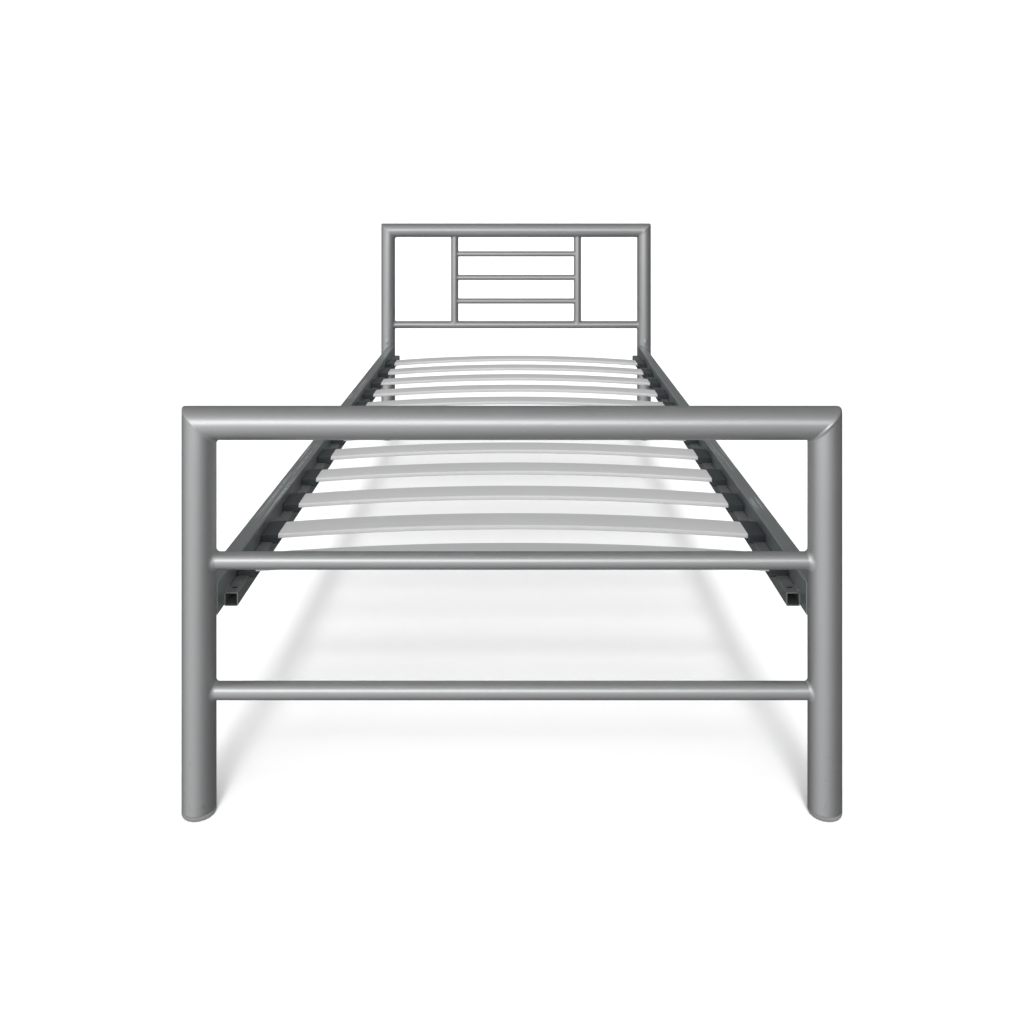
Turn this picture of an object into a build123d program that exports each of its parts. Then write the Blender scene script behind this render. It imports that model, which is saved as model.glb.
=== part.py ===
"""Single metal bed frame: two welded tube ends, two side rails and a bowed slat base.

Millimetres. The origin is on the floor under the middle of the bed. +X is to the right
seen from the foot end, +Y runs towards the headboard and +Z is up.
"""

import os

from build123d import *

os.makedirs("parts", exist_ok=True)

# Plan and heights, measured to tube axes
post_span = 900.0  # across the bed, post to post
post_reach = 1990.0  # along the bed, foot post to head post
foot_top_height = 560.0
foot_upper_height = 362.0
foot_lower_height = 175.0
head_top_height = 734.0
head_lower_height = 402.0
upright_span = 432.0  # between the two short uprights in the headboard
head_bar_count = 3

# Tubes
post_diameter = 48.0
post_wall = 2.0
bar_diameter = 25.0  # crossbars, lower head rail and uprights
bar_wall = 1.5
thin_bar_diameter = 18.0
thin_bar_wall = 1.2
corner_slack = 0.02  # keeps the ground corner clear of the tubes' tangent lines

# Floor glides pushed into the posts
glide_foot_height = 8.0
glide_edge_radius = 4.0
glide_plug_length = 22.0
glide_plug_wall = 2.5
glide_rib_height = 2.0
glide_rib_spacing = 6.0
glide_rib_count = 3
glide_plug_clearance = 0.8
glide_rib_clearance = 0.05

# Side rails
rail_width = 25.0
rail_height = 50.0
rail_wall = 1.5
rail_corner = 3.0
rail_bottom = 280.0
rail_end_inset = 6.0  # from the post axis to the end of the rail's inner wall
rail_end_gap = 0.3

# Slat ledges welded inside the rails
ledge_size = 20.0
ledge_wall = 1.5
ledge_corner = 2.0
ledge_end_inset = 37.0  # from the post axis
spare_hole_inset = 56.0  # from the post axis
peg_hole_diameter = 8.0

# Slats and their holders
slat_count = 12
slat_width = 60.0
slat_thickness = 8.0
slat_camber = 17.0
slat_edge_radius = 2.6
slat_foot_inset = 130.0  # from the foot post axis to the first slat's middle
slat_second_inset = 267.0  # from the foot post axis to the second slat, where the even pitch starts
slat_head_inset = 218.0  # from the last slat's middle to the head post axis
slat_end_gap = 4.0  # from the slat's end to the rail
holder_base = 2.5
holder_top = 1.5
holder_side = 3.0
holder_foot_height = 4.0
holder_step = 1.2  # from the edge of the foot in to the sleeve
holder_overhang = 9.0
holder_lip_height = 3.0
holder_lip_gap = 0.3
holder_lip_corner = 1.0
holder_corner = 2.0
holder_top_radius = 1.5
holder_clearance = 0.3
peg_clearance = 0.1
peg_length = 7.0
peg_tip_chamfer = 0.6

# Bracket tongues and their fasteners
tongue_thickness = 4.0
tongue_clearance = 3.5  # above and below the tongue, inside the rail
tongue_length = 116.0
tongue_corner = 6.0
bolt_insets = (50.0, 92.0)  # from the post axis
bolt_diameter = 8.0
bolt_hole_clearance = 0.25
bolt_head_radius = 7.0
bolt_head_height = 4.4
bolt_head_fillet = 2.4
bolt_tip_length = 2.0
socket_across_flats = 5.0
socket_depth = 2.6
washer_radius = 8.0
washer_thickness = 1.6
washer_clearance = 0.2
nut_across_flats = 13.0
nut_thickness = 6.5
nut_clearance = 0.05

# Worked out
post_x = post_span / 2
post_y = post_reach / 2
post_radius = post_diameter / 2
bar_radius = bar_diameter / 2
thin_bar_radius = thin_bar_diameter / 2
corner_radius = 3 * post_wall  # ground outer corner, which keeps the mitre closed
upright_x = upright_span / 2
head_bar_pitch = (head_top_height - head_lower_height) / (head_bar_count + 1)
rail_outer_x = post_x  # a rail's outer face is in line with its posts' axes
rail_inner_x = rail_outer_x - rail_width
rail_middle_z = rail_bottom + rail_height / 2
ledge_middle_x = rail_inner_x - ledge_size / 2
ledge_inner_x = rail_inner_x - ledge_size
ledge_top = rail_bottom + ledge_size
slat_half = rail_inner_x - slat_end_gap
slat_bottom = ledge_top + holder_base
slat_radius = (slat_half**2 + slat_camber**2) / (2 * slat_camber)
slat_centre_z = slat_bottom + slat_camber - slat_radius
slat_pitch = (post_reach - slat_second_inset - slat_head_inset) / (slat_count - 2)
slat_places = [slat_foot_inset - post_y]
slat_places += [slat_second_inset - post_y + slat_pitch * i for i in range(slat_count - 1)]
tongue_outer_x = rail_outer_x - rail_wall
tongue_height = rail_height - 2 * (rail_wall + tongue_clearance)
bolt_radius = bolt_diameter / 2
bolt_length = washer_thickness + rail_wall + tongue_thickness + nut_thickness + bolt_tip_length


def save(piece, name):
    """Label a finished piece and write it."""
    piece.part.label = name
    export_step(piece.part, f"parts/{name}.step")


def mitre_plane(side, y, height):
    """The 45 degree plane between a post and its top rail, facing the rail."""
    return Plane(origin=(side * post_x, y, height), z_dir=(-side, 0, 1))


def corner_trim(y, height):
    """The two corner blocks that are ground off a mitred frame."""
    blank = corner_radius + post_wall
    centre_x = post_x + post_radius + corner_slack - corner_radius
    centre_z = height + post_radius + corner_slack - corner_radius
    with BuildPart() as trim:
        with BuildSketch(Plane.XZ.offset(-y)):
            for side in (-1, 1):
                with Locations((side * (centre_x + blank / 2), centre_z + blank / 2)):
                    Rectangle(blank, blank)
                with Locations((side * centre_x, centre_z)):
                    Circle(corner_radius, mode=Mode.SUBTRACT)
        extrude(amount=post_diameter, both=True)
    return trim.part


def make_post(side, y, height):
    """A corner post, from its floor glide to the mitre."""
    trim = corner_trim(y, height)
    with BuildPart() as post:
        with BuildSketch(Plane((side * post_x, y, glide_foot_height))):
            Circle(post_radius)
            Circle(post_radius - post_wall, mode=Mode.SUBTRACT)
        extrude(amount=height + post_diameter - glide_foot_height)
        split(bisect_by=mitre_plane(side, y, height), keep=Keep.BOTTOM)
        add(trim, mode=Mode.SUBTRACT)
    return post


def make_top_rail(y, height):
    """The top tube of a frame, mitred to both posts."""
    trim = corner_trim(y, height)
    half_length = post_x + post_diameter
    with BuildPart() as rail:
        with BuildSketch(Plane(origin=(-half_length, y, height), z_dir=(1, 0, 0))):
            Circle(post_radius)
            Circle(post_radius - post_wall, mode=Mode.SUBTRACT)
        extrude(amount=2 * half_length)
        for side in (-1, 1):
            split(bisect_by=mitre_plane(side, y, height), keep=Keep.TOP)
        add(trim, mode=Mode.SUBTRACT)
    return rail


def make_level_bar(y, height, radius, wall, half_span, end_radius):
    """A level tube coped at both ends to the upright tubes that it joins."""
    with BuildPart() as bar:
        with BuildSketch(Plane(origin=(-half_span, y, height), z_dir=(1, 0, 0))):
            Circle(radius)
            Circle(radius - wall, mode=Mode.SUBTRACT)
        extrude(amount=2 * half_span)
        with Locations((-half_span, y, height), (half_span, y, height)):
            Cylinder(end_radius, 4 * radius, mode=Mode.SUBTRACT)
    return bar


def make_upright(side):
    """A short upright of the headboard, coped to the tubes above and below it."""
    with BuildPart() as upright:
        with BuildSketch(Plane((side * upright_x, post_y, head_lower_height))):
            Circle(bar_radius)
            Circle(bar_radius - bar_wall, mode=Mode.SUBTRACT)
        extrude(amount=head_top_height - head_lower_height)
        for height, radius in ((head_lower_height, bar_radius), (head_top_height, post_radius)):
            with Locations((side * upright_x, post_y, height)):
                Cylinder(radius, 4 * bar_radius, rotation=(0, 90, 0), mode=Mode.SUBTRACT)
    return upright


def make_glide(side, y):
    """A plastic floor glide: a rounded foot below the post and a ribbed plug inside it."""
    bore = post_radius - post_wall
    plug_radius = bore - glide_plug_clearance
    with BuildPart() as glide:
        with BuildSketch(Plane((side * post_x, y, 0))):
            Circle(post_radius)
        extrude(amount=glide_foot_height)
        fillet(glide.faces().sort_by(Axis.Z)[0].edges(), glide_edge_radius)
        with BuildSketch(Plane((side * post_x, y, glide_foot_height))):
            Circle(plug_radius)
            Circle(plug_radius - glide_plug_wall, mode=Mode.SUBTRACT)
        extrude(amount=glide_plug_length)
        for i in range(glide_rib_count):
            rib_z = glide_foot_height + glide_rib_spacing * (i + 1) - glide_rib_height
            with BuildSketch(Plane((side * post_x, y, rib_z))):
                Circle(bore - glide_rib_clearance)
                Circle(plug_radius - glide_plug_wall, mode=Mode.SUBTRACT)
            extrude(amount=glide_rib_height)
    return glide


def make_side_rail(side):
    """A rectangular side rail, coped to its posts and drilled through its outer wall."""
    half_length = post_y - rail_end_inset
    hole_radius = bolt_radius + bolt_hole_clearance
    section = Plane(
        origin=(side * (rail_outer_x - rail_width / 2), -half_length, rail_middle_z),
        x_dir=(1, 0, 0),
        z_dir=(0, 1, 0),
    )
    with BuildPart() as rail:
        with BuildSketch(section):
            RectangleRounded(rail_width, rail_height, rail_corner)
            RectangleRounded(
                rail_width - 2 * rail_wall,
                rail_height - 2 * rail_wall,
                rail_corner - rail_wall,
                mode=Mode.SUBTRACT,
            )
        extrude(amount=2 * half_length)
        with Locations(*[(side * post_x, end * post_y, rail_middle_z) for end in (-1, 1)]):
            Cylinder(post_radius + rail_end_gap, 2 * rail_height, mode=Mode.SUBTRACT)
        with Locations(*[bolt_place(side, end, inset) for end in (-1, 1) for inset in bolt_insets]):
            Cylinder(hole_radius, 2 * rail_wall, mode=Mode.SUBTRACT)
    return rail


def bolt_place(side, end, inset):
    """Where a bolt passes a rail's outer face, with local +Z pointing out of the rail."""
    return Location(
        (side * rail_outer_x, end * (post_y - inset), rail_middle_z), (0, side * 90, 0)
    )


def make_ledge(side):
    """The square tube inside a rail, with a hole for each holder's peg and a spare at each end."""
    half_length = post_y - ledge_end_inset
    spare_y = post_y - spare_hole_inset
    section = Plane(
        origin=(side * ledge_middle_x, -half_length, ledge_top - ledge_size / 2),
        x_dir=(1, 0, 0),
        z_dir=(0, 1, 0),
    )
    with BuildPart() as ledge:
        with BuildSketch(section):
            RectangleRounded(ledge_size, ledge_size, ledge_corner)
            RectangleRounded(
                ledge_size - 2 * ledge_wall,
                ledge_size - 2 * ledge_wall,
                ledge_corner - ledge_wall,
                mode=Mode.SUBTRACT,
            )
        extrude(amount=2 * half_length)
        hole_places = [-spare_y, *slat_places, spare_y]
        with Locations(*[(side * ledge_middle_x, y, ledge_top) for y in hole_places]):
            Cylinder(peg_hole_diameter / 2, 2 * ledge_wall + peg_clearance, mode=Mode.SUBTRACT)
    return ledge


def slat_band(y, half_length, width):
    """The bowed strip that a slat fills, square edged, centred on y."""
    with BuildPart() as band:
        with BuildSketch(Plane.XZ.offset(-y)):
            with Locations((0, slat_centre_z)):
                Circle(slat_radius + slat_thickness)
                Circle(slat_radius, mode=Mode.SUBTRACT)
            with Locations((0, slat_bottom)):
                Rectangle(2 * half_length, 4 * (slat_camber + slat_thickness), mode=Mode.INTERSECT)
        extrude(amount=width / 2, both=True)
    return band.part


def make_slat(y):
    """One bowed slat with rounded long edges."""
    band = slat_band(y, slat_half, slat_width)
    with BuildPart() as slat:
        add(band)
        fillet(slat.edges().filter_by(GeomType.CIRCLE), slat_edge_radius)
    return slat


def make_holder():
    """The right-hand slat holder at y = 0: a foot, a sleeve round the slat's end, a lip and a peg."""
    width = slat_width + 2 * (holder_side + holder_clearance)
    length = ledge_size + holder_overhang
    height = slat_camber + slat_thickness  # more than the sleeve needs, before its roof is cut
    base = Plane((rail_inner_x - length / 2, 0, ledge_top))
    pocket = slat_band(0, slat_half + slat_end_gap / 2, slat_width + 2 * holder_clearance)
    lip_length = holder_overhang - holder_lip_gap
    with BuildPart() as holder:
        with BuildSketch(base):
            RectangleRounded(length, width - 2 * holder_step, holder_corner)
        extrude(amount=height)
        # the roof runs along the bowed slat
        with BuildSketch(Plane.XZ):
            with Locations((0, slat_centre_z)):
                Circle(slat_radius + slat_thickness + holder_top)
        extrude(amount=width, both=True, mode=Mode.INTERSECT)
        fillet(holder.faces().sort_by(Axis.Z)[-1].edges(), holder_top_radius)
        with BuildSketch(base):
            RectangleRounded(length, width, holder_corner)
        extrude(amount=holder_foot_height)
        add(pocket, mode=Mode.SUBTRACT)
        lip_x = rail_inner_x - length + lip_length / 2
        with BuildSketch(Plane((lip_x, 0, ledge_top - holder_lip_height))):
            RectangleRounded(lip_length, width - 2 * holder_corner, holder_lip_corner)
        extrude(amount=holder_lip_height + holder_base / 2)
        with BuildSketch(Plane((ledge_middle_x, 0, ledge_top - peg_length))):
            Circle(peg_hole_diameter / 2 - peg_clearance)
        extrude(amount=peg_length + holder_base / 2)
        chamfer(holder.faces().sort_by(Axis.Z)[0].edges(), peg_tip_chamfer)
    return holder


def make_tongue(side, end):
    """The flat tongue welded to a post that slides into the rail and takes its bolts."""
    with BuildPart() as tongue:
        with BuildSketch(
            Plane(
                origin=(side * (tongue_outer_x - tongue_thickness), end * post_y, rail_middle_z),
                x_dir=(0, end, 0),
                z_dir=(side, 0, 0),
            )
        ):
            with Locations((-tongue_length / 2, 0)):
                RectangleRounded(tongue_length, tongue_height, tongue_corner)
            with Locations(*[(-inset, 0) for inset in bolt_insets]):
                Circle(bolt_radius + bolt_hole_clearance, mode=Mode.SUBTRACT)
        extrude(amount=tongue_thickness)
        with Locations((side * post_x, end * post_y, rail_middle_z)):
            Cylinder(post_radius, 2 * tongue_height, mode=Mode.SUBTRACT)
    return tongue


def make_bolt():
    """A button-head bolt. Local +Z points out of the rail and z = 0 is the rail's face."""
    with BuildPart() as bolt:
        with BuildSketch(Plane.XY.offset(washer_thickness)):
            Circle(bolt_head_radius)
        extrude(amount=bolt_head_height)
        fillet(bolt.faces().sort_by(Axis.Z)[-1].edges(), bolt_head_fillet)
        with BuildSketch(Plane.XY.offset(washer_thickness - bolt_length)):
            Circle(bolt_radius)
        extrude(amount=bolt_length)
        with BuildSketch(Plane.XY.offset(washer_thickness + bolt_head_height - socket_depth)):
            RegularPolygon(socket_across_flats / 2, 6, major_radius=False)
        extrude(amount=socket_depth, mode=Mode.SUBTRACT)
    return bolt


def make_washer():
    """A plain washer on the rail's face."""
    with BuildPart() as washer:
        with BuildSketch(Plane.XY):
            Circle(washer_radius)
            Circle(bolt_radius + washer_clearance, mode=Mode.SUBTRACT)
        extrude(amount=washer_thickness)
    return washer


def make_nut():
    """A hexagon weld nut on the tongue's inner face."""
    with BuildPart() as nut:
        with BuildSketch(Plane.XY.offset(-rail_wall - tongue_thickness - nut_thickness)):
            RegularPolygon(nut_across_flats / 2, 6, major_radius=False)
            Circle(bolt_radius + nut_clearance, mode=Mode.SUBTRACT)
        extrude(amount=nut_thickness)
    return nut


def make_group(piece, places):
    """Copies of one piece, each its own solid."""
    with BuildPart() as group:
        with Locations(*places):
            add(piece.part)
    return group


sides = {"left": -1, "right": 1}

# Foot and head frames
for end_name, y, top_height in (
    ("foot", -post_y, foot_top_height),
    ("head", post_y, head_top_height),
):
    save(make_top_rail(y, top_height), f"{end_name}_top_rail")
    for side_name, side in sides.items():
        save(make_post(side, y, top_height), f"{end_name}_post_{side_name}")
        save(make_glide(side, y), f"{end_name}_glide_{side_name}")
        save(make_tongue(side, 1 if y > 0 else -1), f"{end_name}_bracket_{side_name}")

for name, y, height in (
    ("foot_upper_crossbar", -post_y, foot_upper_height),
    ("foot_lower_crossbar", -post_y, foot_lower_height),
    ("head_lower_rail", post_y, head_lower_height),
):
    save(make_level_bar(y, height, bar_radius, bar_wall, post_x, post_radius), name)

for side_name, side in sides.items():
    save(make_upright(side), f"head_upright_{side_name}")

for i in range(head_bar_count):
    height = head_top_height - head_bar_pitch * (i + 1)
    bar = make_level_bar(post_y, height, thin_bar_radius, thin_bar_wall, upright_x, bar_radius)
    save(bar, f"head_bar_{i + 1}")

# Side rails and slat base
for side_name, side in sides.items():
    save(make_side_rail(side), f"side_rail_{side_name}")
    save(make_ledge(side), f"slat_ledge_{side_name}")

for i, y in enumerate(slat_places):
    save(make_slat(y), f"slat_{i + 1:02d}")

holder = make_holder()
for side_name, side in sides.items():
    turn = 0 if side > 0 else 180
    places = [Location((0, y, 0), (0, 0, turn)) for y in slat_places]
    save(make_group(holder, places), f"slat_holders_{side_name}")

# Fasteners
bolt_places = [
    bolt_place(side, end, inset)
    for side in sides.values()
    for end in (-1, 1)
    for inset in bolt_insets
]
save(make_group(make_bolt(), bolt_places), "rail_bolts")
save(make_group(make_washer(), bolt_places), "rail_washers")
save(make_group(make_nut(), bolt_places), "rail_nuts")
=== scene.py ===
"""Single metal bed frame: finished surfaces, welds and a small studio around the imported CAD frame.

Metres. The origin is on the floor under the middle of the bed. +X is to the right seen from
the foot end, +Y runs towards the headboard and +Z is up.
"""

import math

import bmesh
import bpy
import numpy as np
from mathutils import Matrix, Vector


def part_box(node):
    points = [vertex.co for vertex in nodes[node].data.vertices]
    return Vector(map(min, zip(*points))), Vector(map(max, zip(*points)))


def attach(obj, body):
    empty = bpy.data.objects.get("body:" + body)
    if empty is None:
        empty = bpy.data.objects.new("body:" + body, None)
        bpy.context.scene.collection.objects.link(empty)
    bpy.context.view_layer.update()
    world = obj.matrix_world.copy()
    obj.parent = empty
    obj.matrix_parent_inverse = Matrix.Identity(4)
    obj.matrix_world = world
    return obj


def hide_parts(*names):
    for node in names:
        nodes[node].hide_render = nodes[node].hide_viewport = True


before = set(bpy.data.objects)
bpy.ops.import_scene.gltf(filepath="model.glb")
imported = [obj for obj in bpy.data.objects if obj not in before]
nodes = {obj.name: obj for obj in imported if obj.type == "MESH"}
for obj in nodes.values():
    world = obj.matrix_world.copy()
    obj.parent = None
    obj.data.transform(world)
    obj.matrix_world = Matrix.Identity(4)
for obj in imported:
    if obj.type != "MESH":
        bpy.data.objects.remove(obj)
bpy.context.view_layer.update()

mm = 0.001

# Tubes
post_radius = 24 * mm
post_wall = 2 * mm
post_lip = 0.4 * mm  # the rounding at a post's foot
bar_radius = 12.5 * mm
bar_wall = 1.5 * mm
thin_radius = 9 * mm
thin_wall = 1.2 * mm
tube_points = 96  # round a tube
foot_run = 20 * mm  # from a post's foot to the next ring of points
corner_run = 2.5 * post_radius  # from a mitre to where its tubes run plain
cope_run = 15 * mm  # from a cope to where its bar runs plain

# Welds
# How a mitre is dressed: the toe's reach outside, inside and at the sides, and the crown of its seam.
crisp = {"outer": 2.5 * mm, "inner": 6.5 * mm, "seam": 1.2 * mm, "rise": 0.15 * mm}
broad = {"outer": 6 * mm, "inner": 4.5 * mm, "seam": 4.2 * mm, "rise": 0.85 * mm}
corner_points = 9  # across a mitre weld
bead_points = 8  # across a saddle weld
bead_around = 216  # round a saddle weld
bead_beat = 2.1 * mm  # between the ripples of a saddle weld
bead_fullness = 0.28  # 0 for a hollow fillet and 1 for a flat one
bead_crown = 0.10 * mm
bead_ripple = 0.09 * mm
bead_sink = 0.25 * mm  # how far a bead's edges run under the paint of the tubes
post_bead_half = 7.5 * mm
post_bead_proud = 1.8 * mm
post_bead_length = 24 * mm
post_bead_lift = 2 * mm  # above the rail's top
post_bead_out = 3 * mm  # towards the bed's side
post_bead_points = 13  # across
post_bead_stations = 41  # along
run_beat = 2.4 * mm  # between the ripples of a straight weld
run_station = 0.7 * mm
run_points = 7  # across
stitch_leg = 3.2 * mm
stitch_length = 22 * mm
stitch_inset = 4 * mm  # from a ledge's end to its first and last stitch
stitch_back = 12 * mm  # from midway between two slats to a stitch's start

# Slats
slat_camber = 17 * mm
slat_thickness = 8 * mm
slat_edge = 2.6 * mm
slat_stations = 61
slat_edge_points = 7
slat_end_chamfer = 0.5 * mm
slat_end_narrowing = 0.12  # how much the end narrows, as a share of how much it thins
ply_layer = 2.3 * mm

# Ledges
ledge_wall = 1.5 * mm
ledge_seam = 0.9 * mm  # half the width of the seam inside a ledge's tube, and its height
ledge_seam_sink = 0.2 * mm
ledge_seam_points = 7  # across
ledge_seam_stations = 40  # along

# Studio
floor_half = 60
bed_front = (0, -0.9, 0.35)  # what the strips point at
front_side = (0, -0.996, 0.087)  # where the soft light is strongest
bright_side = (-0.612, -0.791, 0.0)  # where the room that the metal mirrors is brightest
room_dark = 0.12
room_above = 0.14  # added overhead
room_gain = 1.0  # added on the bright side
soft_even = 0.44
soft_gain = 1.85  # added in front
white_strength = 1.2  # behind the bed, above the floor
front_strip = {"shape": "RECTANGLE", "size": 3.5, "size_y": 0.95, "energy": 28}
front_strip_place = (-0.8, -3.9, 1.42)
side_strip = {"shape": "RECTANGLE", "size": 1.5, "size_y": 0.95, "energy": 5.5}
side_strip_place = (1.7, -3.9, 1.42)
bank = {"energy": 0.25, "angle": math.radians(11)}
bank_elevations = np.linspace(33, 78, 8)
bank_distance = 4

# Camera
sensor_width = 36
lens = 33.63
lens_shift = (-0.0068, -0.3235)
camera_place = (0.0101, -2.3711, 0.9082)


def middle(node):
    """A node's middle, to half a millimetre, as flat facets fall a little short of a circle."""
    low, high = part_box(node)
    return Vector(round(v / mm) * mm / 2 for v in low + high)


# ---------------------------------------------------------------- shader building


class Wire:
    """A node's output that takes arithmetic: each operation adds one Math node."""

    def __init__(self, finish, socket):
        self.finish = finish
        self.socket = socket

    def maths(self, operation, first, second):
        return self.finish.node("ShaderNodeMath", {"operation": operation}, {0: first, 1: second})

    def __add__(self, other):
        return self.maths("ADD", self, other)

    def __radd__(self, other):
        return self.maths("ADD", other, self)

    def __sub__(self, other):
        return self.maths("SUBTRACT", self, other)

    def __rsub__(self, other):
        return self.maths("SUBTRACT", other, self)

    def __mul__(self, other):
        return self.maths("MULTIPLY", self, other)

    def __truediv__(self, other):
        return self.maths("DIVIDE", self, other)

    def ramp(self, start, end):
        """0 below start, 1 above end, and smooth in between."""
        inputs = {"Value": self, "From Min": start, "From Max": end}
        settings = {"interpolation_type": "SMOOTHSTEP"}
        return self.finish.node("ShaderNodeMapRange", settings, inputs)


class Finish:
    """A material around one Principled shader, with short ways to add nodes."""

    def __init__(self, name, constants):
        self.material = bpy.data.materials.new(name)
        self.material.use_nodes = True
        self.tree = self.material.node_tree
        self.tree.nodes.clear()
        self.shader = self.node("ShaderNodeBsdfPrincipled", {}, constants)
        self.node("ShaderNodeOutputMaterial", {}, {"Surface": self.shader})

    def node(self, kind, settings=None, inputs=None, output=0):
        """Adds a node: its settings first, then values or links for its sockets."""
        made = self.tree.nodes.new(kind)
        for name, value in (settings or {}).items():
            setattr(made, name, value)
        for key, value in (inputs or {}).items():
            self.join(made.inputs[key], value)
        if not made.outputs:
            return None
        return Wire(self, made.outputs[output])

    def join(self, socket, value):
        if isinstance(value, Wire):
            self.tree.links.new(value.socket, socket)
        elif isinstance(value, tuple) and len(value) == 3 and socket.type == "RGBA":
            socket.default_value = (*value, 1)
        else:
            socket.default_value = value

    def wear(self, colour, roughness, normal):
        """Links what changes over the surface to the Principled shader."""
        shader = self.shader.socket.node
        for key, value in (("Base Color", colour), ("Roughness", roughness), ("Normal", normal)):
            self.join(shader.inputs[key], value)

    def place(self):
        """Where a point is on the bed, in metres."""
        return self.node("ShaderNodeTexCoord", output="Object")

    def along(self, axis, vector=None):
        """One part of a vector: x, y or z."""
        return self.node("ShaderNodeSeparateXYZ", {}, {0: vector or self.place()}, output=axis)

    def stretched(self, scale):
        """The place, scaled by its own number on each axis."""
        settings = {"operation": "MULTIPLY"}
        return self.node("ShaderNodeVectorMath", settings, {0: self.place(), 1: scale})

    def noise(self, scale, detail, roughness, vector=None):
        inputs = {"Scale": scale, "Detail": detail, "Roughness": roughness}
        inputs["Vector"] = vector or self.place()
        return self.node("ShaderNodeTexNoise", {}, inputs)

    def cells(self, scale):
        """A grey value for each cell of a fine mosaic."""
        inputs = {"Scale": scale, "Vector": self.place()}
        colour = self.node("ShaderNodeTexVoronoi", {}, inputs, output="Color")
        return self.node("ShaderNodeSeparateColor", {}, {0: colour})

    def mix(self, amount, first, second, blend="MIX"):
        settings = {"data_type": "RGBA", "blend_type": blend, "clamp_factor": True}
        return self.node("ShaderNodeMix", settings, {0: amount, 6: first, 7: second}, output=2)

    def scaled(self, colour, amount):
        """A colour made lighter or darker by a factor."""
        grey = self.node("ShaderNodeCombineColor", {}, {0: amount, 1: amount, 2: amount})
        return self.mix(1.0, colour, grey, "MULTIPLY")

    def bump(self, height, distance, strength=1.0, under=None):
        inputs = {"Height": height, "Distance": distance, "Strength": strength}
        if under is not None:
            inputs["Normal"] = under
        return self.node("ShaderNodeBump", {}, inputs)


def metal_paint(name, colour, roughness, metallic, rub=0.0):
    """Satin metallic powder coat: fine flake, slight orange peel, soft clouding, dust and scuffs, and
    optional painted highlight streaks.

    rub is how strongly long bright streaks of painted highlight, standing in for glossy reflections,
    show on upward faces.
    """
    paint = Finish(name, {"Metallic": metallic, "IOR": 1.5})
    flake = paint.cells(2600)
    cloud = paint.noise(7, 4, 0.6)
    peel = paint.noise(330, 2, 0.45)
    upward = paint.along("Z", paint.node("ShaderNodeNewGeometry", output="Normal"))
    dust = upward.ramp(0.55, 1.0) * paint.noise(55, 5, 0.65).ramp(0.35, 0.75)
    low = 1 - paint.along("Z").ramp(0.02, 0.16)
    scuff = low * paint.noise(90, 6, 0.7).ramp(0.58, 0.72)
    shade = 0.93 + flake * 0.08 + cloud * 0.06
    painted = paint.scaled(colour, shade)
    dust_grey, scuff_grey, highlight_grey = (0.60, 0.60, 0.59), (0.20, 0.20, 0.20), (0.80, 0.82, 0.82)
    dusty = paint.mix(dust * 0.16, painted, dust_grey)
    worn = paint.mix(scuff * 0.35, dusty, scuff_grey)
    rough = roughness - 0.04 + cloud * 0.07 + dust * 0.10 + scuff * 0.12 + flake * 0.03
    # Painted highlight: lighter, glossier streaks along upward faces stand in for reflections; they are
    # not real rub marks.
    if rub:
        patch = paint.noise(3.4, 2, 0.5).ramp(0.50, 0.58)
        line = paint.noise(1, 3, 0.6, paint.stretched((300, 4, 300))).ramp(0.50, 0.60)
        highlight_streak = upward.ramp(0.2, 0.8) * patch * line
        worn = paint.mix(highlight_streak * rub, worn, highlight_grey)
        rough = rough - highlight_streak * 0.08
    fine = paint.bump(flake, 0.012 * mm, 0.5)
    skin = paint.bump(peel, 0.055 * mm, 1.0, fine)
    paint.wear(worn, rough, skin)
    return paint.material


def slat_foil(name):
    """Grey paper foil over bent plywood: fine pressed grain along the slat, satin."""
    foil = Finish(name, {"IOR": 1.46})
    pores = foil.noise(1, 3, 0.6, foil.stretched((22, 900, 900)))
    streak = foil.noise(1, 4, 0.55, foil.stretched((3.5, 110, 110)))
    cloud = foil.noise(5, 3, 0.5)
    rub = foil.noise(1, 5, 0.7, foil.stretched((40, 12, 12))).ramp(0.56, 0.78)
    tone = 0.90 + streak * 0.12 + cloud * 0.06 - pores.ramp(0.62, 0.74) * 0.05
    print_grey, rub_grey = (0.39, 0.39, 0.395), (0.60, 0.60, 0.60)
    printed = foil.scaled(print_grey, tone)
    rubbed = foil.mix(rub * 0.10, printed, rub_grey)
    rough = 0.36 + cloud * 0.08 + pores * 0.05 - rub * 0.05
    pressed = foil.bump(pores, 0.030 * mm, 0.8)
    waved = foil.bump(streak, 0.060 * mm, 0.6, pressed)
    foil.wear(rubbed, rough, waved)
    return foil.material


def slat_ply(name):
    """The cut end of a slat: thin beech layers, alternately end grain and long grain."""
    ply = Finish(name, {"IOR": 1.45})
    wobble = ply.noise(60, 3, 0.5) * (0.4 * mm)
    layer = (ply.along("Z") + wobble) / ply_layer
    band = ply.node("ShaderNodeMath", {"operation": "PINGPONG"}, {0: layer, 1: 0.5}).ramp(0.2, 0.3)
    grain = ply.noise(1, 4, 0.6, ply.stretched((300, 1400, 1400)))
    long_grain, end_grain = (0.52, 0.34, 0.19), (0.36, 0.22, 0.12)
    wood = ply.mix(band, long_grain, end_grain)
    sawn = ply.scaled(wood, 0.8 + grain * 0.4)
    ply.wear(sawn, 0.62 + grain * 0.2, ply.bump(grain, 0.08 * mm))
    return ply.material


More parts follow.
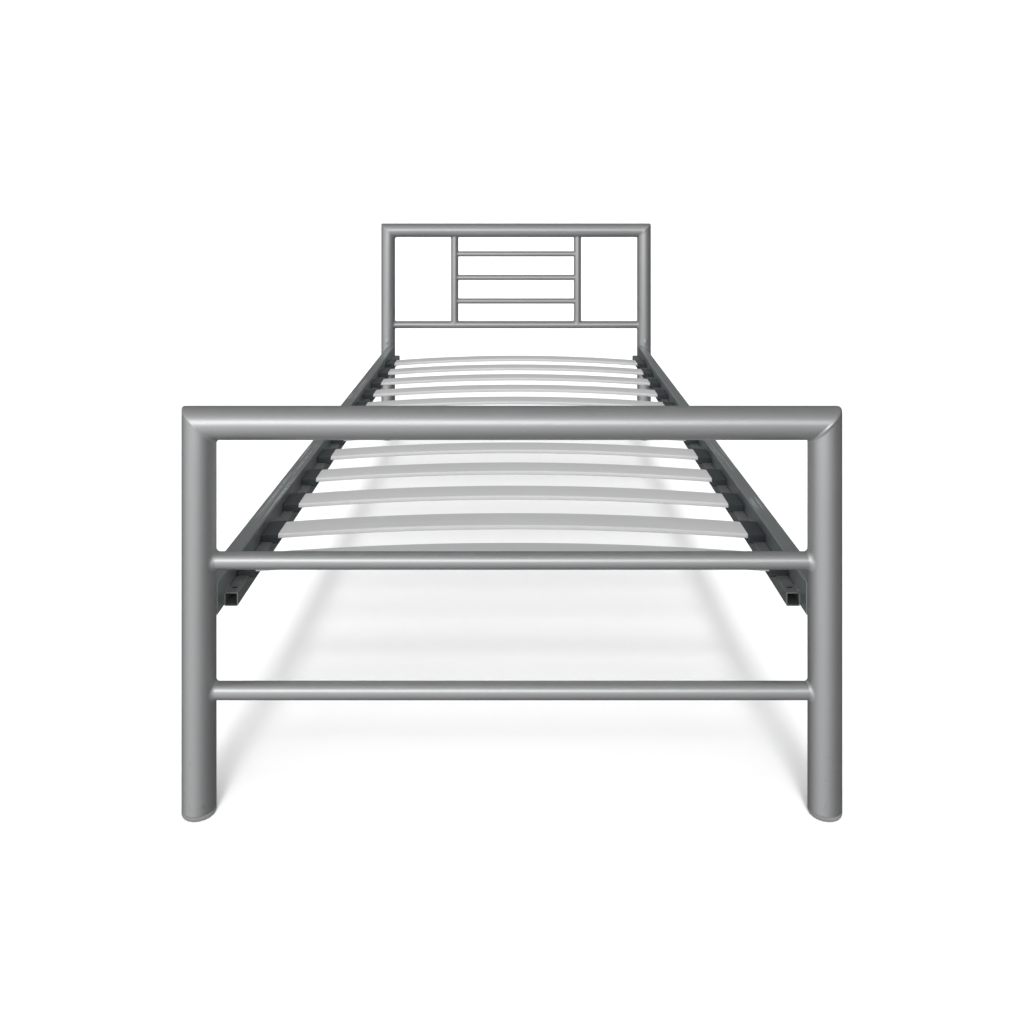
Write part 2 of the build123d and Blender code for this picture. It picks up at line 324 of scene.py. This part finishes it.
def moulded_plastic(name, colour, roughness):
    """Moulded plastic with a spark-eroded grain, soft flow marks and rubbed high spots."""
    plastic = Finish(name, {"IOR": 1.48})
    grain = plastic.noise(1700, 3, 0.6)
    flow = plastic.noise(40, 3, 0.5)
    rub = plastic.noise(140, 5, 0.7).ramp(0.60, 0.76)
    moulded = plastic.scaled(colour, 0.85 + flow * 0.3)
    lighter = tuple(min(1.0, c * 1.6 + 0.02) for c in colour)
    worn = plastic.mix(rub * 0.25, moulded, lighter)
    rough = roughness + flow * 0.10 - rub * 0.08
    plastic.wear(worn, rough, plastic.bump(grain, 0.05 * mm))
    return plastic.material


def zinc_plate(name):
    """Bright zinc on steel: cool, faintly mottled, with fine turning marks."""
    zinc = Finish(name, {"Metallic": 1.0})
    mottle = zinc.noise(420, 4, 0.6)
    passivate = zinc.noise(90, 2, 0.5)
    turned = zinc.noise(1, 2, 0.5, zinc.stretched((300, 5000, 5000)))
    clear_zinc, yellowed_zinc = (0.66, 0.68, 0.70), (0.72, 0.70, 0.64)
    tint = zinc.mix(passivate.ramp(0.4, 0.65), clear_zinc, yellowed_zinc)
    plated = zinc.scaled(tint, 0.88 + mottle * 0.2)
    rough = 0.26 + mottle * 0.16 + turned * 0.06
    zinc.wear(plated, rough, zinc.bump(turned, 0.02 * mm, 0.6))
    return zinc.material


frame_paint = metal_paint("frame_paint", (0.46, 0.465, 0.47), 0.38, 0.92)
# The rails get painted highlight streaks; rub sets how strong they are.
rail_paint = metal_paint("rail_paint", (0.375, 0.41, 0.412), 0.33, 0.88, rub=1.0)
# Painted shade: the ledges are rail paint, given a darker copy here for the shade they sit in under the
# slats; their stitch welds and seams share it.
ledge_shade_paint = metal_paint("ledge_shade_paint", (0.22, 0.235, 0.235), 0.40, 0.80)
foil_finish = slat_foil("slat_foil")
ply_finish = slat_ply("slat_ply")
holder_plastic = moulded_plastic("holder_plastic", (0.020, 0.024, 0.026), 0.36)
glide_plastic = moulded_plastic("glide_plastic", (0.15, 0.153, 0.156), 0.42)
fastener_zinc = zinc_plate("fastener_zinc")


# ---------------------------------------------------------------- mesh building


def grid_faces(loops, points, closed):
    """Quads between loops of points; closed joins the last loop to the first."""
    faces = []
    for i in range(loops if closed else loops - 1):
        here = i * points
        there = (i + 1) % loops * points
        for k in range(points):
            after = (k + 1) % points
            faces.append((here + k, here + after, there + after, there + k))
    return faces


def piece(name, loops, finish, closed=True, replaces=(), cap_finish=None):
    """A piece skinned over loops of points. An open stack of loops gets a flat cap at each end."""
    loops = np.asarray(loops, float)
    count, points = loops.shape[:2]
    faces = grid_faces(count, points, closed)
    sides = len(faces)
    if not closed:
        faces.append(tuple(range(points)))
        faces.append(tuple(range((count - 1) * points, count * points)))
    mesh = bpy.data.meshes.new(name)
    mesh.from_pydata(loops.reshape(-1, 3).tolist(), [], faces)
    mesh.materials.append(finish)
    if cap_finish is not None:
        mesh.materials.append(cap_finish)
        for face in list(mesh.polygons)[sides:]:
            face.material_index = 1
    turned = bmesh.new()
    turned.from_mesh(mesh)
    bmesh.ops.recalc_face_normals(turned, faces=turned.faces)
    turned.to_mesh(mesh)
    turned.free()
    mesh.shade_smooth()
    mesh.set_sharp_from_angle(angle=math.radians(38))
    made = bpy.data.objects.new(name, mesh)
    bpy.context.scene.collection.objects.link(made)
    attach(made, "root")
    if replaces:
        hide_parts(*replaces)
    return made


def angles(count):
    return np.linspace(0, 2 * math.pi, count, endpoint=False)


def points_at(x, y, z):
    """Loops of points from three arrays or numbers."""
    return np.stack(np.broadcast_arrays(x, y, z), axis=-1)


def saddle(reach, across):
    """How far a round tube's surface is from its axis plane, at a distance across it."""
    return np.sqrt(np.maximum(reach**2 - across**2, 0))


# ---------------------------------------------------------------- welded end frames


class Corner:
    """A mitred corner of an end frame: how its weld is dressed, and the mitre's outline."""

    def __init__(self, side, post, height, outer, inner, seam, rise):
        self.side = side
        self.rise = rise
        self.x, self.y = post.x, post.y
        self.height = height
        turn = angles(tube_points)
        self.out = np.cos(turn)  # 1 on the outside of the corner and -1 on the inside
        self.across = np.sin(turn)
        self.toe = (
            seam + (outer - seam) * np.maximum(self.out, 0) ** 2
            + (inner - seam) * np.maximum(-self.out, 0)
        )

    def loop(self, radius, down=0.0, inward=0.0):
        """Points of the mitre's ellipse, moved down the post or inward along the rail."""
        reach = radius * self.out
        x = self.x + self.side * (reach - inward)
        y = self.y + radius * self.across
        z = self.height + reach - down
        return points_at(x, y, z)

    def post_edge(self, radius=post_radius):
        return self.loop(radius, down=self.toe)

    def rail_edge(self, radius=post_radius):
        return self.loop(radius, inward=self.toe)

    def weld(self, name):
        """The weld that fills the mitre's groove, rounded outside and filleted inside."""
        first, last = self.post_edge(), self.rail_edge()
        ridge = self.loop(post_radius)
        loops = []
        for t in np.linspace(0, 1, corner_points):
            curve = (1 - t) ** 2 * first + 2 * t * (1 - t) * ridge + t**2 * last
            rise = self.rise * math.sin(math.pi * t) * np.abs(self.across) ** 3
            curve[:, 1] += rise * np.sign(self.across)
            loops.append(curve)
        heel = post_radius - post_wall / 2
        loops += [self.rail_edge(heel), self.post_edge(heel)]
        piece(name, loops, frame_paint)


def make_post(name, node, corner, bottom):
    """A corner post: a round tube with its wall, up to the weld groove of the mitre."""
    bore = post_radius - post_wall

    def ring(radius, z):
        x = corner.x + corner.side * radius * corner.out
        return points_at(x, corner.y + radius * corner.across, z)

    loops = [
        ring(post_radius - post_lip, bottom),
        ring(post_radius, bottom + post_lip),
        ring(post_radius, bottom + foot_run),
        ring(post_radius, corner.height - corner_run),
        corner.post_edge(),
        corner.post_edge(bore),
        ring(bore, bottom),
    ]
    piece(name, loops, frame_paint, replaces=[node])


def make_top_rail(name, node, left, right):
    """The top tube of an end frame, between the weld grooves of its two mitres."""
    bore = post_radius - post_wall

    def ring(corner):
        x = corner.x - corner.side * corner_run
        y = corner.y + post_radius * corner.across
        return points_at(x, y, corner.height + post_radius * corner.out)

    loops = [
        left.rail_edge(bore), left.rail_edge(), ring(left),
        ring(right), right.rail_edge(), right.rail_edge(bore),
    ]
    piece(name, loops, frame_paint, replaces=[node])


def make_bar(name, node, start, end, radius, wall, start_radius, end_radius, along):
    """A straight tube coped at both ends to round tubes that lie in the along direction."""
    start, end, along = Vector(start), Vector(end), Vector(along)
    toward = (end - start).normalized()
    lateral = np.array(toward.cross(along))
    upward, forward = np.array(along), np.array(toward)
    turn = angles(tube_points)

    def ring(origin, direction, tube, r, slack=0.0):
        side_way, up_way = r * np.cos(turn), r * np.sin(turn)
        reach = (saddle(tube, side_way) + slack) * direction
        spread = np.outer(side_way, lateral) + np.outer(up_way, upward)
        return np.array(origin) + spread + np.outer(reach, forward)

    loops = [
        ring(start, 1, start_radius, radius - wall),
        ring(start, 1, start_radius, radius),
        ring(start, 1, start_radius, radius, cope_run),
        ring(end, -1, end_radius, radius, cope_run),
        ring(end, -1, end_radius, radius),
        ring(end, -1, end_radius, radius - wall),
    ]
    piece(name, loops, frame_paint, replaces=[node])


def saddle_bead(name, centre, toward, along, radius, tube, reach, start):
    """The weld bead where a bar of one radius meets a round tube.

    centre is on the tube's axis, toward points from there into the bar, and along is the
    tube's axis. reach is how far the bead's edges run out on both, and start shifts the ripples.
    """
    toward, along = Vector(toward), Vector(along)
    lateral = np.array(toward.cross(along))
    toward, along, centre = np.array(toward), np.array(along), np.array(centre)
    turn = angles(bead_around)
    c, s = np.cos(turn), np.sin(turn)
    ripples = round(2 * math.pi * radius / bead_beat)
    ripple = np.sin(ripples * turn + start)
    sway = 1 + 0.07 * np.sin(3 * turn + start) + 0.05 * np.sin(7 * turn + 2 * start)
    width = reach * sway

    def spot(sideways, lengthways, outward):
        return (
            centre + np.outer(sideways, lateral) + np.outer(lengthways, along)
            + np.outer(outward, toward)
        )

    root_out = saddle(tube, radius * c)
    root = spot(radius * c, radius * s, root_out)
    on_bar = spot(radius * c, radius * s, root_out + width)
    bend = np.arcsin(np.clip(radius * c / tube, -1, 1)) + width * c / tube
    on_tube = spot(tube * np.sin(bend), (radius + width) * s, tube * np.cos(bend))
    control = root + bead_fullness * ((on_bar + on_tube) / 2 - root)
    outward = (on_bar + on_tube) / 2 - root
    outward /= np.maximum(np.linalg.norm(outward, axis=1, keepdims=True), 1e-9)
    thin = radius - bead_sink
    sunk_bar = spot(thin * c, thin * s, root_out + width + bead_sink)
    deep = tube - bead_sink
    sunk_tube = spot(
        deep * np.sin(bend), (radius + width + bead_sink) * s, deep * np.cos(bend)
    )
    inner = radius - bar_wall / 2
    heel = spot(inner * c, inner * s, root_out - bar_wall / 2)
    loops = [sunk_bar]
    for t in np.linspace(0, 1, bead_points):
        curve = (1 - t) ** 2 * on_bar + 2 * t * (1 - t) * control + t**2 * on_tube
        swell = math.sin(math.pi * t) * (bead_crown + bead_ripple * ripple)
        loops.append(curve + outward * swell[:, None])
    loops += [sunk_tube, heel]
    piece(name, loops, frame_paint)


def run_bead(name, start, end, first, second, size, finish):
    """A straight run of fillet weld from start to end in the corner between two faces.

    first and second are the directions that lead from the corner along the two faces.
    """
    start, end = np.array(start, float), np.array(end, float)
    first, second = np.array(first, float), np.array(second, float)
    length = np.linalg.norm(end - start)
    stations = max(12, int(length / run_station))
    loops = []
    for i in range(stations + 1):
        t = i / stations
        swell = max(0.05, (1 - abs(2 * t - 1) ** 5)) ** 0.5
        swell *= 1 + 0.06 * math.sin(2 * math.pi * t * length / run_beat)
        leg = size * swell
        loop = [-bead_sink * (first + second)]
        for u in np.linspace(0, 1, run_points):
            bulge = 0.16 * math.sin(math.pi * u)
            loop.append(leg * ((1 - u + bulge) * first + (u + bulge) * second)
                        - bead_sink * ((u > 0.99) * first + (u < 0.01) * second))
        loops.append(start + (end - start) * t + np.array(loop))
    piece(name, loops, finish, closed=False)


def make_end_frame(end_name, dressing):
    """The two posts, the top rail and the mitre welds of the foot or the head."""
    rail = middle(f"{end_name}_top_rail")
    corners = {}
    for side_name, side in (("left", -1), ("right", 1)):
        glide = f"{end_name}_glide_{side_name}"
        corner = Corner(side, middle(glide), rail.z, **dressing[side_name])
        corners[side_name] = corner
        post = f"{end_name}_post_{side_name}"
        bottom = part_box(post)[0].z
        make_post(f"{post}_tube", post, corner, bottom)
        corner.weld(f"{end_name}_mitre_weld_{side_name}")
    node = f"{end_name}_top_rail"
    make_top_rail(f"{node}_tube", node, corners["left"], corners["right"])
    return corners


def make_level_bars():
    """The foot crossbars and the lower head rail, with a bead at each end."""
    for node, reach in (
        ("foot_upper_crossbar", 4.6 * mm),
        ("foot_lower_crossbar", 3.6 * mm),
        ("head_lower_rail", 3.6 * mm),
    ):
        end_name = node.split("_")[0]
        height = middle(node).z
        left = middle(f"{end_name}_glide_left")
        right = middle(f"{end_name}_glide_right")
        left.z = right.z = height
        make_bar(
            f"{node}_tube", node, left, right,
            bar_radius, bar_wall, post_radius, post_radius, (0, 0, 1),
        )
        for side_name, post, toward in (("left", left, 1), ("right", right, -1)):
            saddle_bead(
                f"{node}_weld_{side_name}", post, (toward, 0, 0), (0, 0, 1),
                bar_radius, post_radius, reach, start=height + toward,
            )


def make_post_beads():
    """A short upright bead on the front of each head post, just above the end of its side rail."""
    turn = np.linspace(-math.pi / 2, math.pi / 2, post_bead_points)
    for side_name, side in (("left", -1), ("right", 1)):
        post = middle(f"head_glide_{side_name}")
        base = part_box(f"side_rail_{side_name}")[1].z + post_bead_lift
        loops = []
        for t in np.linspace(0, 1, post_bead_stations):
            arch = math.sin(math.pi * t)
            wave = 1 + 0.12 * math.sin(6 * math.pi * t)
            half = post_bead_half * (0.1 + 0.9 * math.sqrt(arch))
            across = side * post_bead_out + half * np.sin(turn)
            proud = post_bead_proud * arch * wave * np.cos(turn) ** 2 - bead_sink
            front = post.y - saddle(post_radius, across) - proud
            loops.append(points_at(post.x + across, front, base + t * post_bead_length))
        piece(f"head_post_weld_{side_name}", loops, frame_paint, closed=False)


def make_head_grille():
    """The two uprights of the headboard and the three thin bars between them."""
    top, low = middle("head_top_rail").z, middle("head_lower_rail").z
    y = middle("head_top_rail").y
    spots = {}
    for side_name in ("left", "right"):
        node = f"head_upright_{side_name}"
        x = middle(node).x
        spots[side_name] = x
        make_bar(
            f"{node}_tube", node, (x, y, low), (x, y, top),
            bar_radius, bar_wall, bar_radius, post_radius, (1, 0, 0),
        )
        saddle_bead(
            f"{node}_weld_top", (x, y, top), (0, 0, -1), (1, 0, 0),
            bar_radius, post_radius, 3.4 * mm, start=x,
        )
        saddle_bead(
            f"{node}_weld_bottom", (x, y, low), (0, 0, 1), (1, 0, 0),
            bar_radius, bar_radius, 3.2 * mm, start=2 * x,
        )
    for i in (1, 2, 3):
        node = f"head_bar_{i}"
        z = middle(node).z
        ends = [(spots["left"], y, z), (spots["right"], y, z)]
        make_bar(
            f"{node}_tube", node, *ends,
            thin_radius, thin_wall, bar_radius, bar_radius, (0, 0, 1),
        )
        for side_name, place, toward in zip(("left", "right"), ends, (1, -1)):
            saddle_bead(
                f"{node}_weld_{side_name}", place, (toward, 0, 0), (0, 0, 1),
                thin_radius, bar_radius, 2.4 * mm, start=z * toward,
            )


# ---------------------------------------------------------------- slats and side rails


def slat_outline(width):
    """A slat's section: across the slat, and up from its underside, with rounded edges."""
    spots = []
    quarter = np.linspace(0, math.pi / 2, slat_edge_points)
    for across, up, start in ((1, 1, 0), (-1, 1, 1), (-1, -1, 2), (1, -1, 3)):
        centre_y = across * (width / 2 - slat_edge)
        centre_t = slat_thickness / 2 + up * (slat_thickness / 2 - slat_edge)
        for a in quarter + start * math.pi / 2:
            spots.append((centre_y + slat_edge * math.cos(a), centre_t + slat_edge * math.sin(a)))
    return np.array(spots)


def make_slat(node):
    """One bowed slat, wrapped in foil, with its ply showing at the sawn ends."""
    low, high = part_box(node)
    y = middle(node).y
    half = high.x
    width = round((high.y - low.y) / mm) * mm
    outline = slat_outline(width)
    bow = (half**2 + slat_camber**2) / (2 * slat_camber)
    centre_z = low.z + slat_camber - bow
    core = np.array([0, slat_thickness / 2])
    inset = 1 - 2 * slat_end_chamfer / slat_thickness
    shrink = np.array([slat_end_narrowing, 1])
    stations = np.linspace(-(half - slat_end_chamfer), half - slat_end_chamfer, slat_stations)
    sections = [(-half, inset), *[(x, 1) for x in stations], (half, inset)]
    loops = []
    for x, share in sections:
        section = core + (outline - core) * (1 - (1 - share) * shrink)
        lift = saddle(bow + section[:, 1], x)
        loops.append(points_at(x, y + section[:, 0], centre_z + lift))
    piece(
        f"{node}_board", loops, foil_finish, closed=False,
        replaces=[node], cap_finish=ply_finish,
    )


def make_rail_welds(side_name, side):
    """Stitch welds that hold a ledge to its rail, and the seam inside the ledge's tube."""
    low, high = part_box(f"slat_ledge_{side_name}")
    slats = [middle(f"slat_{i:02d}").y for i in range(1, 13)]
    joint_x = high.x if side > 0 else low.x
    between = [(a + b) / 2 - stitch_back for a, b in zip(slats, slats[1:])]
    stitches = [low.y + stitch_inset, *between[1::3], high.y - stitch_inset - stitch_length]
    for i, y in enumerate(stitches):
        start, end = (joint_x, y, high.z), (joint_x, y + stitch_length, high.z)
        run_bead(
            f"ledge_stitch_{side_name}_{i + 1}", start, end,
            (-side, 0, 0), (0, 0, 1), stitch_leg, ledge_shade_paint,
        )
    seam_x = (low.x if side > 0 else high.x) + side * ledge_wall
    middle_z = (low.z + high.z) / 2
    turn = np.linspace(-math.pi / 2, math.pi / 2, ledge_seam_points)
    loops = []
    for y in np.linspace(low.y + ledge_wall, high.y - ledge_wall, ledge_seam_stations):
        rise = ledge_seam * np.cos(turn) - ledge_seam_sink
        loops.append(points_at(seam_x + side * rise, y, middle_z + ledge_seam * np.sin(turn)))
    piece(f"ledge_seam_{side_name}", loops, ledge_shade_paint, closed=False)


def paint_carried_nodes():
    """Finishes for the CAD pieces that are shown as they are."""
    for name, node in nodes.items():
        if name.startswith("side_rail"):
            finish, slot = rail_paint, "rail_paint"
        elif name.startswith("slat_ledge"):
            finish, slot = ledge_shade_paint, "rail_paint"
        elif "bracket" in name:
            finish, slot = frame_paint, "frame_paint"
        elif "glide" in name:
            finish, slot = glide_plastic, "glide_plastic"
        elif "holders" in name:
            finish, slot = holder_plastic, "holder_plastic"
        elif name.startswith(("rail_bolts", "rail_washers", "rail_nuts")):
            finish, slot = fastener_zinc, "fastener_steel"
        else:
            continue
        for material_slot in node.material_slots:
            material_slot.material = finish


make_end_frame("foot", {"left": crisp, "right": broad})
make_end_frame("head", {"left": crisp, "right": broad})
make_level_bars()
make_post_beads()
make_head_grille()
for number in range(1, 13):
    make_slat(f"slat_{number:02d}")
for side_name, side in (("left", -1), ("right", 1)):
    make_rail_welds(side_name, side)
paint_carried_nodes()


# ---------------------------------------------------------------- studio


def make_camera():
    """A level camera that looks at the bed from beyond its foot end."""
    data = bpy.data.cameras.new("camera")
    data.sensor_width = sensor_width
    data.lens = lens
    data.shift_x, data.shift_y = lens_shift
    camera = bpy.data.objects.new("camera", data)
    camera.location = camera_place
    camera.rotation_euler = (math.pi / 2, 0, 0)
    bpy.context.scene.collection.objects.link(camera)
    bpy.context.scene.camera = camera


class Stage(Finish):
    """A studio surface or backdrop, which may look different to the camera and to reflections."""

    def __init__(self, tree):
        self.tree = tree
        self.tree.nodes.clear()

    def facing(self, direction, side):
        """1 where a direction points straight at a side of the room, and 0 straight away from it."""
        settings = {"operation": "DOT_PRODUCT"}
        inputs = {0: direction, 1: side}
        return self.node("ShaderNodeVectorMath", settings, inputs, output="Value") * 0.5 + 0.5


def make_floor():
    """A plain pale floor, wide enough to run out of sight. Reflections see the grey room through it."""
    corners = [(x * floor_half, y * floor_half, 0) for x, y in ((-1, -1), (1, -1), (1, 1), (-1, 1))]
    mesh = bpy.data.meshes.new("floor")
    mesh.from_pydata(corners, [], [(0, 1, 2, 3)])
    material = bpy.data.materials.new("studio_floor")
    material.use_nodes = True
    look = Stage(material.node_tree)
    reflected = look.node("ShaderNodeLightPath", output="Is Glossy Ray")
    pale = look.node("ShaderNodeBsdfDiffuse", {}, {"Color": (0.90, 0.90, 0.90)})
    clear = look.node("ShaderNodeBsdfTransparent")
    mixed = look.node("ShaderNodeMixShader", {}, {0: reflected, 1: pale, 2: clear})
    look.node("ShaderNodeOutputMaterial", {}, {"Surface": mixed})
    mesh.materials.append(material)
    floor = bpy.data.objects.new("floor", mesh)
    bpy.context.scene.collection.objects.link(floor)


def make_backdrop():
    """White behind the bed, soft light from the front, and a grey room for reflections."""
    world = bpy.data.worlds.new("studio")
    world.use_nodes = True
    bpy.context.scene.world = world
    look = Stage(world.node_tree)
    seen = look.node("ShaderNodeLightPath", output="Is Camera Ray")
    reflected = look.node("ShaderNodeLightPath", output="Is Glossy Ray")
    direction = look.node("ShaderNodeTexCoord", output="Generated")
    frontal = look.facing(direction, front_side)
    soft = soft_even + frontal * frontal * soft_gain
    near = look.facing(direction, bright_side)
    overhead = look.along("Z", direction).ramp(-0.1, 0.6)
    room = room_dark + overhead * room_above + near * near * near * room_gain
    strength = soft + reflected * (room - soft)
    light = look.node("ShaderNodeBackground", {}, {"Strength": strength})
    plain = {"Color": (1.0, 1.0, 1.0), "Strength": white_strength}
    white = look.node("ShaderNodeBackground", {}, plain)
    mixed = look.node("ShaderNodeMixShader", {}, {0: seen, 1: light, 2: white})
    look.node("ShaderNodeOutputWorld", {}, {"Surface": mixed})


def make_light(name, kind, settings, place, target):
    """A lamp at a place, turned towards a target."""
    lamp = bpy.data.lights.new(name, kind)
    for key, value in settings.items():
        setattr(lamp, key, value)
    light = bpy.data.objects.new(name, lamp)
    light.location = place
    light.rotation_mode = "QUATERNION"
    light.rotation_quaternion = (Vector(target) - Vector(place)).to_track_quat("-Z", "Y")
    bpy.context.scene.collection.objects.link(light)
    return light


def make_lights():
    """A broad strip in front for the sheen, dimmer on the right, and a bank of soft lights above."""
    make_light("front_strip", "AREA", front_strip, front_strip_place, bed_front)
    make_light("side_strip", "AREA", side_strip, side_strip_place, bed_front)
    for i, elevation in enumerate(bank_elevations):
        rise = math.radians(elevation)
        above = (0, -bank_distance * math.cos(rise), bank_distance * math.sin(rise))
        light = make_light(f"bank_{i + 1}", "SUN", bank, above, (0, 0, 0))
        light.visible_glossy = False


make_camera()
make_floor()
make_backdrop()
make_lights()
bpy.context.scene.view_settings.view_transform = "Standard"
